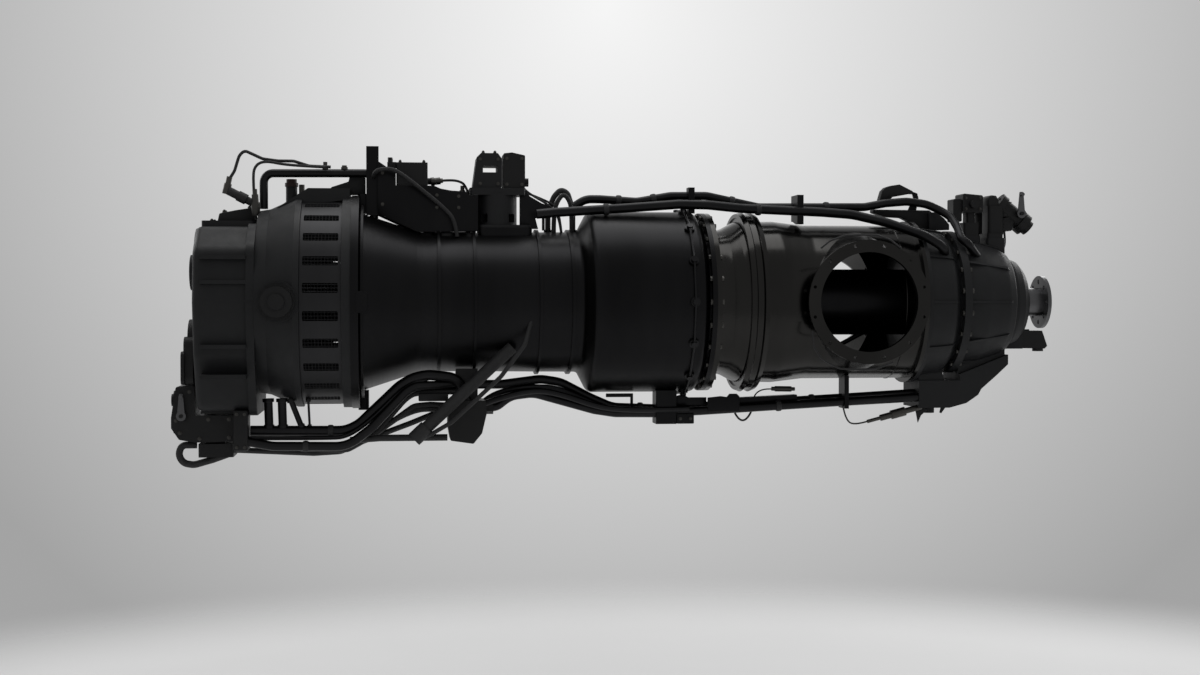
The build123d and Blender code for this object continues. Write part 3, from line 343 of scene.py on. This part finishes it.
# %% Turned pieces
def turned(start, end, stages, sides=24):
    """A turned piece between two points. Each stage is its share of the length and its radius."""
    start, end = Vector(start) * MM, Vector(end) * MM
    length = (end - start).length
    radius = stages[0][1]
    height = 0.0
    bpy.ops.object.select_all(action="DESELECT")
    bpy.ops.mesh.primitive_circle_add(vertices=sides, radius=radius * MM, fill_type="NGON")
    piece = bpy.context.object
    bpy.ops.object.mode_set(mode="EDIT")
    bpy.ops.mesh.select_all(action="SELECT")
    for share, wanted in stages:
        if wanted != radius:
            bpy.ops.mesh.extrude_region_move(TRANSFORM_OT_translate={"value": (0, 0, 0)})
            ratio = wanted / radius
            bpy.ops.transform.resize(value=(ratio, ratio, 1), center_override=(0, 0, height))
            radius = wanted
        rise = share * length
        height += rise
        bpy.ops.mesh.extrude_region_move(TRANSFORM_OT_translate={"value": (0, 0, rise)})
    bpy.ops.mesh.select_all(action="SELECT")
    bpy.ops.mesh.normals_make_consistent(inside=False)
    bpy.ops.object.mode_set(mode="OBJECT")
    return laid(piece, start, end - start)


print("turned pieces ready")

# %% [markdown]
# A piece modelled upright at the origin is laid in its place, and its place is applied to its mesh,
# so that every finished piece sits at the origin. Pieces of one kind are joined into one.

# %% Laying, joining and scattering
def laid(piece, place, direction):
    """Moves an upright piece to a place in metres, with its top towards a direction."""
    piece.location = place
    piece.rotation_euler = Vector(direction).to_track_quat("Z", "Y").to_euler()
    only(piece)
    bpy.ops.object.transform_apply(location=True, rotation=True)
    return piece


def joined(pieces, name, slot, edge=0.0):
    """Makes one piece of several and settles it."""
    only(*pieces)
    bpy.ops.object.join()
    return settle(bpy.context.object, name, slot, edge)


def scatter(name, pattern, places, slot):
    """Copies one small pattern, which points up from the origin, to (place, direction, size)."""
    copies = []
    for place, direction, size in places:
        copy = pattern.copy()
        copy.data = pattern.data.copy()
        bpy.context.collection.objects.link(copy)
        copy.location = Vector(place) * MM
        copy.rotation_euler = Vector(direction).to_track_quat("Z", "Y").to_euler()
        copy.scale = (size, size, size)
        copies.append(copy)
    only(*copies)
    bpy.ops.object.transform_apply(location=True, rotation=True, scale=True)
    return joined(copies, name, slot)


print("joining ready")

# %% [markdown]
# The accessory gearbox has a cast cover on its roof, and the inlet case a lifting lug on top, where
# a hoist takes the engine. Both are thick castings, so their edges are rounder.

# %% Roof cover and lifting lug
roof_cover = plate("gearbox_roof_cover", (
    (-296, 167), (-292, 186), (-258, 193), (-220, 199), (-215, 167)), -20, 24, "casting", 2.5)
lifting_lug = plate("inlet_lifting_lug", (
    (-66, 234), (-60, 244), (-24, 256), (-22, 266), (12, 266), (12, 228), (-20, 228)),
    -3, 18, "casting", 1.5)
print("castings", roof_cover.name, lifting_lug.name)

# %% [markdown]
# The ignition exciter stands between two deep side plates that reach from the mount flange to the
# bleed valve, with three folded webs across. Both side plates share one outline.

# %% Exciter plates
exciter_side = (
    (38, 186), (38, 297), (46, 292), (56, 285), (76, 283), (76, 246), (156, 246), (170, 240),
    (192, 236), (228, 234), (228, 226), (249, 226), (249, 150), (120, 148))
WEB_NEAR, WEB_FAR = -41.5, 50.5
for side, near, far in (("starboard", -45, -42), ("port", 51, 54)):
    plate(f"exciter_plate_{side}", exciter_side, near, far, "sheet_steel")
for web, outline in (
        ("rear", ((40, 190), (40, 280), (58, 280), (58, 186))),
        ("front", ((193, 152), (193, 230), (226, 230), (226, 152))),
        ("middle", ((150, 152), (150, 236), (174, 234), (174, 152)))):
    plate(f"exciter_{web}_web", outline, WEB_NEAR, WEB_FAR, "sheet_steel", 1.5)
print("exciter plate corners", len(exciter_side))

# %% [markdown]
# A sheet stay runs from the bleed valve's actuator down to the casing in front of it, where it
# stands on a broad foot and a narrow one. It is one outline cut from sheet, so one plate makes it.

# %% Valve stay
valve_stay = plate("valve_stay", (
    (338, 156), (338, 238), (350, 238), (360, 226), (386, 211), (404, 206), (404, 179),
    (392, 179), (392, 153), (386, 153), (386, 179), (372, 179), (378, 156)),
    -31, -28, "sheet_steel")
print("stay", valve_stay.name)

# %% [markdown]
# Over the reduction gearbox sits the propeller control: a box, a cam that a cable from the cockpit
# turns, and the bent arm that joins them.

# %% Propeller control
plate("control_box", (
    (1124, 205), (1124, 198), (1151, 189), (1190, 187), (1209, 178), (1209, 158), (1262, 158),
    (1262, 198), (1254, 204)), 4, 30, "accessory", 2.5)
plate("control_cam", (
    (1140, 226), (1146, 246), (1154, 254), (1166, 258), (1186, 261), (1217, 246), (1214, 241),
    (1170, 233), (1162, 224)), 6, 30, "accessory", 1.5)
control_arm = plate("control_arm", (
    (1206, 200), (1226, 200), (1232, 231), (1229, 242), (1217, 246), (1186, 261), (1186, 240),
    (1218, 240), (1220, 232)), 14, 20, "sheet_steel")
print("control", control_arm.name)

# %% [markdown]
# Below the combustor the long tubes are held by a clamp block, a bracket on the clamp ring and a
# small heat shield. The sump has a tab for its drain lead and a cast fin.

# %% Lower brackets
plate("lower_clamp_block", ((674.5, -262), (712, -262), (712, -240), (674.5, -240)),
      -58, -8, "sheet_steel", 2.0)
plate("lower_ring_bracket", (
    (742, -236), (742, -206), (771, -203), (784, -205), (790, -198), (806, -198), (812, -204),
    (812, -236)), -56, -52, "sheet_steel")
plate("tube_shield", (
    (524, -205), (524, -197), (583, -197), (583, -232), (577, -232), (577, -205)),
    -33, -29, "sheet_steel")
plate("sump_drain_tab", (
    (1216, -228), (1228, -232), (1238, -238), (1224, -250), (1217, -266), (1212, -240)),
    -34, -30, "casting")
sump_fin = plate("sump_fin", ((1281, -231), (1297, -226), (1281, -248), (1277, -246)),
                 -2, 2, "casting")
print("lower brackets end with", sump_fin.name)

# %% [markdown]
# The fuel pump's lower cover, the heater's inlet body, the foot of the control box and the two
# covers of the propeller governor are black boxes with well rounded edges.

# %% Accessory covers
plate("lower_pump_cover", ((-256, -306), (-256, -222), (-226, -222), (-226, -306)),
      -118, -59, "accessory", 4.0)
plate("heater_inlet_body", ((122, -208), (122, -192), (184, -192), (184, -208)),
      -84, -64, "accessory", 2.0)
plate("control_box_foot", (
    (1250, 158), (1250, 199), (1266, 199), (1284, 186), (1296, 172), (1296, 160)),
    -6, 3.5, "casting")
plate("governor_cover", (
    (1380, 213), (1380, 232), (1386, 237), (1398, 236), (1404, 226), (1404, 213)),
    -22, 22, "accessory", 2.0)
governor_nose = plate("governor_nose", (
    (1415, 158), (1415, 186), (1430, 190), (1443, 184), (1436, 158)), -17, 17, "accessory", 2.0)
print("covers end with", governor_nose.name)

# %% [markdown]
# A folded tray carries the lower tubes along the exhaust duct, and a link ties it to the clamp.

# %% Tube tray and link
plate("tube_tray", ((812, -222), (812, -208), (944, -202), (944, -215)), -36, -10, "sheet_steel")
tube_link = plate("tube_link", (
    (672, -224), (672, -204), (690, -199), (702, -206), (742, -206), (742, -222)),
    -42, -38, "sheet_steel")
print("tray and", tube_link.name)

# %% [markdown]
# Pipes and leads come next, each as a name, a route of points, a diameter and a slot. At the rear
# an ignition lead rises in a bow, and a line goes over the exciter and down its side.

# %% Ignition lines
pipes = [
    ("ignition_lead", (
        (-214, -40, 172), (-222, -40, 262), (-214, -40, 288), (-192, -40, 295), (-150, -40, 286),
        (-70, -40, 283)), 6, "hose"),
    ("exciter_line", (
        (29, -34, 262), (29, -62, 274), (60, -64, 281), (84, -62, 272), (126, -60, 240),
        (182, -58, 194), (200, -60, 170), (204, -60, 138)), 9, "hose"),
]
print("ignition lines", len(pipes))

# %% [markdown]
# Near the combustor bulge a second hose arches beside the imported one, and two thin leads drop from
# the bleed actuator to the case between its two ends.

# %% Hoses by the bleed valve
pipes += [
    ("inner_hose", (
        (413, -12, 148), (413, -12, 190), (421, -12, 218), (435, -12, 234), (449, -12, 216),
        (452, -12, 190), (452, -12, 148)), 10, "hose"),
    ("valve_lead_outer", (
        (342, -3, 248), (350, -3, 236), (368, -3, 230), (388, -3, 222), (410, -3, 212),
        (426, -3, 196), (431, -3, 148)), 5, "hose"),
    ("valve_lead_inner", (
        (344, -22, 248), (352, -22, 238), (370, -22, 226), (402, -22, 208), (424, -22, 184),
        (428, -22, 148)), 5, "hose"),
]
print("with the valve's hoses", len(pipes))

# %% [markdown]
# Below the cone a bundle of tubes and hoses runs to the fuel heater, and two steel tubes leave it
# forward under the waist. The two hoses start close together and part on their way up.

# %% Tubes of the fuel heater
pipes += [
    ("tank_drain_line", (
        (-226, -95, -281), (-60, -95, -283), (-24, -95, -279), (24, -94, -246), (84, -92, -186),
        (112, -90, -168), (150, -84, -158)), 9, "tube_steel"),
    ("heater_feed_upper", (
        (14, -62, -287), (40, -62, -268), (72, -64, -230), (100, -66, -198), (126, -68, -189),
        (210, -70, -189)), 12, "hose"),
    ("heater_feed_middle", (
        (24, -56, -280), (60, -56, -254), (110, -58, -230), (142, -58, -225), (184, -58, -228)),
        11, "hose"),
    ("heater_bypass", (
        (262, -36, -212), (286, -36, -192), (366, -34, -181), (424, -33, -186), (493, -32, -218),
        (539, -32, -234), (633, -32, -236)), 14, "tube_steel"),
    ("heater_drain", (
        (256, -72, -216), (300, -70, -200), (372, -66, -186), (430, -64, -198), (497, -64, -222),
        (545, -62, -230), (640, -62, -232), (700, -62, -230)), 13, "tube_steel"),
]
print("with the heater's tubes", len(pipes))

# %% [markdown]
# The thinnest are electric leads, which hang in short bows, and one strap that hangs under the
# lower tubes. Now every route is drawn.

# %% Thin leads
pipes += [
    ("harness_loop", (
        (1044, -45, -226), (1050, -45, -258), (1072, -42, -270), (1106, -40, -260)), 3.6, "hose"),
    ("tie_strap", (
        (804, -32, -232), (806, -32, -244), (824, -32, -262), (842, -32, -244), (846, -32, -228)),
        4.5, "hose"),
    ("clip_lead", ((850, -30, -206), (858, -30, -187), (892, -30, -190)), 3, "hose"),
    ("governor_lead", ((1420, -8, 170), (1424, -10, 140), (1421, -8, 118), (1412, -6, 104)),
        5, "hose"),
    ("overspeed_lead", ((1310, -8, 180), (1306, -12, 160), (1312, -12, 146), (1330, -12, 138)),
        4, "hose"),
    ("exciter_output_lead", (
        (158, 0, 258), (190, 0, 262), (216, 0, 258), (226, 4, 246), (232, 8, 230)), 5.5, "hose"),
]
for name, route, diameter, slot in pipes:
    pipe(name, route, diameter, slot)
print("pipes", len(pipes))

# %% [markdown]
# Four drains come down from the oil tank to the lines under it. Each is turned, with a collar at
# its top and foot. The third slopes, as it does in the photograph.

# %% Tank drains
DRAIN_SIDE = -80
DRAIN_TOP, DRAIN_FOOT = -200, -262
drains = [
    turned((top, DRAIN_SIDE, DRAIN_TOP), (foot, DRAIN_SIDE, DRAIN_FOOT),
           ((0.12, radius + 3), (0.76, radius), (0.12, radius + 2)))
    for top, foot, radius in ((-188, -186, 9), (-160, -158, 9), (-143, -119, 6), (-106, -103, 2.5))]
joined(drains, "tank_drains", "tube_steel", 0.6)
print("drains", len(drains))

# %% [markdown]
# Plugs, terminals and small fittings stand on the boxes and at the ends of leads. A shell, a nut
# and a strain relief are stages of one turned piece. The six-sided ones are gripped by a spanner.

# %% Lead connectors
connectors = [turned(*sizes) for sizes in (
    ((1100, -40, -262), (1222, -40, -230), ((0.24, 4), (0.2, 7), (0.26, 10), (0.3, 6.5)), 20),
    ((888, -30, -189), (940, -30, -190), ((0.15, 4.5), (0.7, 6), (0.15, 4)), 20),
    ((150, 0, 257), (176, 0, 260), ((0.3, 9), (0.5, 7.5), (0.2, 5)), 20),
    ((-277, -30, 226), (-269, -30, 262), ((0.6, 8), (0.4, 6)), 20),
    ((-214, -40, 180), (-217, -40, 236), ((0.5, 9), (0.3, 7), (0.2, 5)), 20),
    ((-72, -15, 280), (-72, -15, 296), ((0.5, 7), (0.5, 5)), 6),
    ((-32, -15, 280), (-32, -15, 289), ((0.6, 8), (0.4, 6)), 6),
    ((-123, 20, 222), (-123, 20, 250), ((0.3, 9), (0.7, 6)), 12),
    ((218, 10, 226), (218, 10, 250), ((0.6, 7), (0.4, 5)), 6),
    ((66, -24, 282), (66, -24, 304), ((0.6, 6), (0.4, 4)), 12),
)]
joined(connectors, "lead_connectors", "bolt_steel", 0.5)
print("connectors", len(connectors))

# %% [markdown]
# Covers are held by screws. One pattern is modelled: a washer, a hexagon and the end of a thread,
# three pieces turned one above the other and joined. Its size is for a 6 mm thread.

# %% One fastener
washer = turned((0, 0, 0), (0, 0, 1.2), ((1, 6.2),), 16)
hexagon = turned((0, 0, 1.2), (0, 0, 6), ((0.85, 5.2), (0.15, 4.6)), 6)
thread = turned((0, 0, 6), (0, 0, 8.4), ((0.75, 2.9), (0.25, 2.3)), 10)
only(washer, hexagon, thread)
bpy.ops.object.join()
fastener = bpy.context.object
print("fastener faces", len(fastener.data.polygons))

# %% [markdown]
# The places are listed box by box, each with the direction that its head looks and its size. The
# boxes have their screws near the corners, and the fuel control has them round its outline.

# %% Places of the fasteners
UP, STARBOARD = (0, 0, 1), (0, -1, 0)
places = [((x, y, 295), UP, 0.7) for x in (85, 135) for y in (-32, 42)]
places += [((x, y, 317), UP, 0.7) for x in (261, 286) for y in (-25, 25)]
places += [((x, -32, z), STARBOARD, 0.6) for x in (311, 343) for z in (251, 306)]
places += [((x, -34, z), STARBOARD, 0.6) for x in (254, 292) for z in (252, 304)]
places += [((x, -26, z), STARBOARD, 0.55) for x in (1327, 1359) for z in (206, 230)]
places += [((x, -58, z), STARBOARD, 0.7) for x, z in (
    (-350, -186), (-378, -246), (-370, -272), (-330, -284), (-270, -282), (-270, -244),
    (-312, -244))]
places += [((x, -45, z), STARBOARD, 0.6) for x, z in (
    (48, 206), (48, 272), (162, 200), (208, 200), (162, 226), (208, 224))]
places += [((x, y, z), UP, 0.8) for x, y, z in (
    (-282, -12, 187.5), (-282, 16, 187.5), (-230, -12, 196), (-230, 16, 196))]
places += [((-309, 0, 168), UP, 0.9), ((-303, 0, 168), UP, 0.7)]
places += [((x, -58, -251), STARBOARD, 0.6) for x in (682, 704)]
places += [((x, -118, z), STARBOARD, 0.6) for x in (-249, -233) for z in (-298, -230)]
scatter("cover_fasteners", fastener, places, "bolt_steel")
bpy.data.objects.remove(fastener)
print("fasteners", len(places))

# %% [markdown]
# The inlet screen is woven wire stretched over the drum's windows. It could be a see-through
# material, but its wires show at the rim. So an open tube is cut into cells, one for each opening
# of the weave, and the Wireframe modifier turns each edge into a wire.

# %% Woven screen
SCREEN_REAR, SCREEN_FRONT = -113.5, -39.5
SCREEN_RADIUS = 215.1
OPENINGS_ROUND, OPENINGS_ALONG = 192, 11
WIRE = 1.6
screen_width = SCREEN_FRONT - SCREEN_REAR
bpy.ops.object.select_all(action="DESELECT")
bpy.ops.mesh.primitive_cylinder_add(
    vertices=OPENINGS_ROUND, radius=SCREEN_RADIUS * MM, depth=screen_width * MM,
    end_fill_type="NOTHING", location=((SCREEN_REAR + SCREEN_FRONT) / 2 * MM, 0, 0),
    rotation=(0, pi / 2, 0))
screen = bpy.context.object
bpy.ops.object.transform_apply(location=True, rotation=True)
bpy.ops.object.mode_set(mode="EDIT")
for cut in range(1, OPENINGS_ALONG):
    bpy.ops.mesh.select_all(action="SELECT")
    station = SCREEN_REAR + screen_width * cut / OPENINGS_ALONG
    bpy.ops.mesh.bisect(plane_co=(station * MM, 0, 0), plane_no=(1, 0, 0))
bpy.ops.object.mode_set(mode="OBJECT")
bpy.ops.object.modifier_add(type="WIREFRAME")
weave = screen.modifiers[-1]
weave.thickness = WIRE * MM
weave.use_boundary = True
bpy.ops.object.modifier_apply(modifier=weave.name)
settle(screen, "woven_screen", "screen_wire")
print("screen faces", len(screen.data.polygons))

# %% [markdown]
# Rubber-lined clamps hold the tubes. Each is a band round its tube: a torus drawn out along the
# tube, so that it is wider than it is thick.

# %% Clamp bands
def band(place, along, radius, thick, stretch, rings=28):
    """A ring at a place, round a direction, drawn out along it by its stretch."""
    bpy.ops.object.select_all(action="DESELECT")
    bpy.ops.mesh.primitive_torus_add(major_segments=rings, minor_segments=8,
                                     major_radius=radius * MM, minor_radius=thick * MM)
    made = bpy.context.object
    bpy.ops.object.mode_set(mode="EDIT")
    bpy.ops.mesh.select_all(action="SELECT")
    bpy.ops.transform.resize(value=(1, 1, stretch), center_override=(0, 0, 0))
    bpy.ops.object.mode_set(mode="OBJECT")
    return laid(made, Vector(place) * MM, along)


CLAMP_LINING = 1.2
CLAMP_THICK, CLAMP_STRETCH = 1.4, 4.0
bands = [band(place, along, radius + CLAMP_LINING, CLAMP_THICK, CLAMP_STRETCH)
         for place, along, radius in (
             ((552, -25, 218.5), (1, 0, -0.06), 9.2), ((628, -25, 222), (1, 0, 0.18), 9.2),
             ((800, -25, 218), (1, 0, -0.2), 9.2), ((1010, -25, 207.3), (1, 0, 0), 9.2),
             ((520, -66, 197), (1, 0, 0.06), 10.2), ((850, -66, 199), (1, 0, -0.04), 10.2),
             ((600, -20, -229.3), (1, 0, 0), 9.5), ((840, -20, -221), (1, 0, 0.05), 9.5),
             ((980, -20, -214), (1, 0, 0.05), 9.5), ((900, -45, -225.3), (1, 0, 0.05), 9.5),
             ((-110, -106, -298), (1, 0, 0), 9.5), ((-60, -80, -269), (1, 0, 0), 11))]
joined(bands, "clamp_bands", "hose")
print("bands", len(bands))

# %% [markdown]
# The exhaust duct is welded up from rolled rings. A weld bead is a thin raised ring at each seam,
# so the same band serves, as large as the duct and hardly drawn out.

# %% Weld beads
BEAD_THICK, BEAD_STRETCH, BEAD_SIDES = 1.1, 1.6, 160
SHAFTWISE = (1, 0, 0)
beads = [band((station, 0, 0), SHAFTWISE, radius, BEAD_THICK, BEAD_STRETCH, BEAD_SIDES)
         for station, radius in ((1150, 168.3), (884, 168.3), (778, 157.3))]
joined(beads, "weld_beads", "duct_alloy")
print("beads", len(beads))

# %% [markdown]
# The studio has a pale paper floor under the engine. A plane that ends in view would draw a hard
# line across the picture, so the floor is a round sheet whose edge fades out. The share that shows
# is worked out from the distance to its centre. The studio's sizes are in metres.

# %% Studio floor
FLOOR_DROP = 0.95
FLOOR_CENTRE = (0.6, -0.7)
FLOOR_RADIUS = 3.0
FADE_START, FADE_END = 1.9, 2.9
paper = Finish("floor_paper")
from_centre = paper.node("ShaderNodeMapping", {}, {
    "Vector": paper.place(), "Location": (-FLOOR_CENTRE[0], -FLOOR_CENTRE[1], FLOOR_DROP)})
distance = paper.node("ShaderNodeVectorMath", {"operation": "LENGTH"}, {0: from_centre},
                      output="Value")
shown = paper.node("ShaderNodeMapRange", {"interpolation_type": "SMOOTHSTEP"}, {
    "Value": distance, "From Min": FADE_START, "From Max": FADE_END, "To Min": 1.0, "To Max": 0.0})
PAPER_LIGHT, PAPER_DARK = (0.64, 0.64, 0.64), (0.62, 0.62, 0.62)
paper.feed(Base_Color=paper.blend(paper.noise(3.0, 2.0), PAPER_LIGHT, PAPER_DARK),
           Roughness=0.8, Alpha=shown)
bpy.ops.object.select_all(action="DESELECT")
bpy.ops.mesh.primitive_circle_add(vertices=96, radius=FLOOR_RADIUS, fill_type="NGON",
                                  location=(*FLOOR_CENTRE, -FLOOR_DROP))
floor = bpy.context.object
floor.name = "studio_floor"
bpy.ops.object.transform_apply(location=True)
floor.data.materials.append(paper.material)
print("floor at", -FLOOR_DROP)

# %% [markdown]
# Large soft lamps give soft shadows. One hangs above, and one stands behind each end of the
# engine, on its far side, so that its near side stays dark as in the photograph.

# %% Lamps
def soft_lamp(name, place, aim, size, watts):
    """A square lamp at a place that looks at another."""
    data = bpy.data.lights.new(name, "AREA")
    data.size = size
    data.energy = watts
    lamp = bpy.data.objects.new(name, data)
    bpy.context.collection.objects.link(lamp)
    lamp.location = place
    lamp.rotation_euler = (Vector(aim) - Vector(place)).to_track_quat("-Z", "Y").to_euler()
    return lamp


lamps = [soft_lamp(*settings) for settings in (
    ("lamp_above", (0.4, 0.6, 3.4), (0.5, 0, 0), 3.0, 62),
    ("lamp_rear", (-2.6, 2.2, 1.6), (0.2, 0, 0), 2.0, 36),
    ("lamp_front", (3.2, 1.8, 1.2), (1.0, 0, 0), 2.0, 36))]
print("lamps", len(lamps))

# %% [markdown]
# The world is the backdrop. Where a camera, a mirror or glass looks, it glows behind the upper
# part of the engine and falls off with the distance from there. Everything else gets one plain
# level of light from all sides, so the picture's brightness and its light are set apart.

# %% World
GLOW_DIRECTION = Vector((0.12, 0.95, 0.17)).normalized()
GLOW_REACH = 0.45
GLOW_LEVEL, FAR_LEVEL, LIGHT_LEVEL = 1.0, 0.40, 0.58
BACKDROP_GREY = 0.92
world = bpy.data.worlds.new("studio_world")
bpy.context.scene.world = world
world.use_nodes = True
air = Network(world.node_tree)
seen, mirrored, through = (
    air.node("ShaderNodeLightPath", output=f"Is {ray} Ray")
    for ray in ("Camera", "Glossy", "Transmission"))
direction = air.node("ShaderNodeTexCoord", output="Generated")
from_glow = air.node("ShaderNodeVectorMath", {"operation": "DISTANCE"},
                     {0: direction, 1: GLOW_DIRECTION}, output="Value")
glow = air.node("ShaderNodeMapRange", {}, {
    "Value": from_glow, "From Max": GLOW_REACH, "To Min": GLOW_LEVEL, "To Max": FAR_LEVEL})
level = air.node("ShaderNodeMapRange", {}, {
    "Value": seen.greater(mirrored).greater(through), "To Min": LIGHT_LEVEL, "To Max": glow})
background = world.node_tree.nodes["Background"]
air.put(background.inputs["Color"], (BACKDROP_GREY, BACKDROP_GREY, BACKDROP_GREY, 1))
air.put(background.inputs["Strength"], level)
print("world", world.name)

# %% [markdown]
# The camera stands 3.6 m off, seven degrees round towards the rear of the engine, level with its
# shaft line and turned down a little, as the photograph was taken. The Standard view transform
# shows each colour as it is written.

# %% Camera
CAMERA_AIM = 0.515
CAMERA_DISTANCE = 3.617
CAMERA_TURN = radians(7)
CAMERA_DIP = radians(1.22)
lens = bpy.data.cameras.new("photo_camera")
lens.lens = 50.0
lens.sensor_width = 36.0
camera = bpy.data.objects.new("photo_camera", lens)
bpy.context.collection.objects.link(camera)
camera.location = (CAMERA_AIM - CAMERA_DISTANCE * sin(CAMERA_TURN),
                   -CAMERA_DISTANCE * cos(CAMERA_TURN), 0)
camera.rotation_euler = (pi / 2 - CAMERA_DIP, 0, -CAMERA_TURN)
bpy.context.scene.camera = camera
bpy.context.scene.view_settings.view_transform = "Standard"
print("camera at", [round(c, 3) for c in camera.location])
